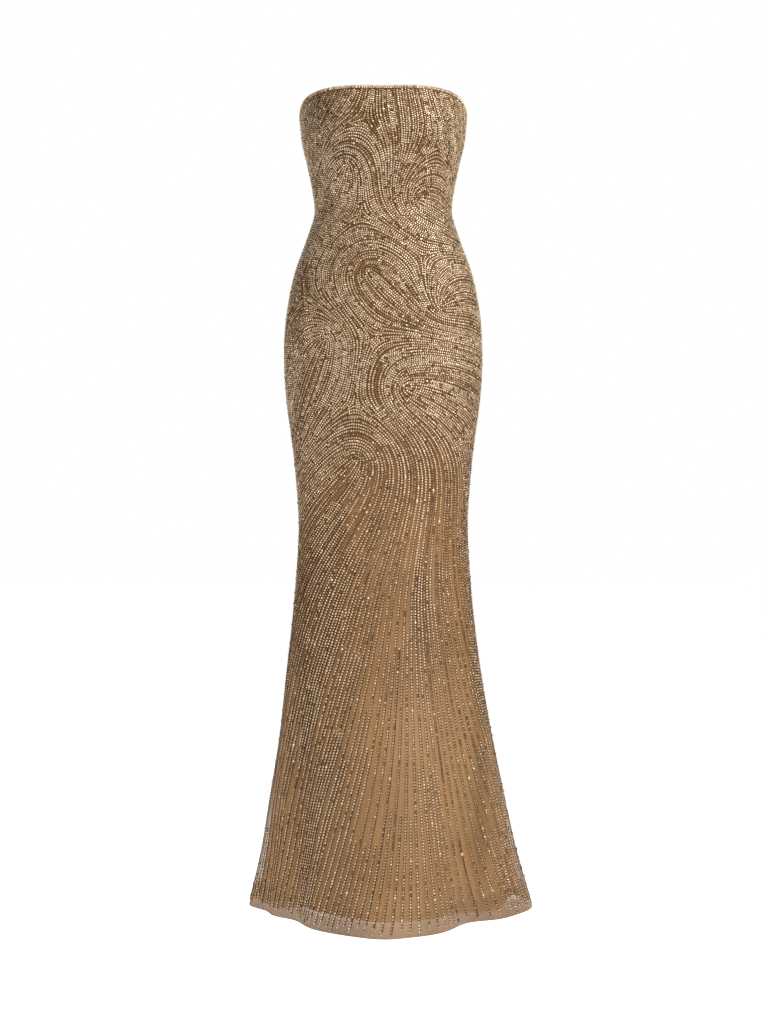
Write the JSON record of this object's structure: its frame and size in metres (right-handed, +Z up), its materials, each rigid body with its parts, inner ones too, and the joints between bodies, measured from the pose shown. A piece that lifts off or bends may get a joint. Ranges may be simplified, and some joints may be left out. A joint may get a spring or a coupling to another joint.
{
  "type": "column gown",
  "caption": "Strapless floor-length column gown, beaded net over a plain lining, flared below the knee, with a zip at the back.",
  "frame": {"origin": "middle of the chest inside the bodice, level with the underarms, where the wearer holds the gown up", "axes": "+Z up, the front faces -Y, +X towards the wearer's left; the gown stands as if worn"},
  "size_m": [0.4679, 0.4681, 1.316],
  "materials": {
    "beaded_net": "sheer net sewn with rows of small champagne and gold glass beads",
    "lining": "tan satin, a soft sheen",
    "beaded_edge": "rolled edge covered with small gold beads",
    "zip_tape": "plain woven tape",
    "zip_coil": "nylon coil",
    "zip_metal": "plated in pale gold"
  },
  "bodies": {
    "gown": {"net_front": "beaded_net", "net_back_left": "beaded_net", "net_back_right": "beaded_net", "lining_front": "lining", "lining_back_left": "lining", "lining_back_right": "lining", "neck_edge": "beaded_edge", "zip_tape_left": "zip_tape", "zip_tape_right": "zip_tape", "zip_chain": "zip_coil", "zip_slider": "zip_metal"},
    "pull": {"zip_pull": "zip_metal"}
  },
  "joints": [
    {"name": "pull_swing", "type": "hinge", "parent": "gown", "child": "pull", "pos_m": [0, 0.10487, -0.025], "axis": [1, 0, 0], "range_deg": [-6, 180]}
  ]
}
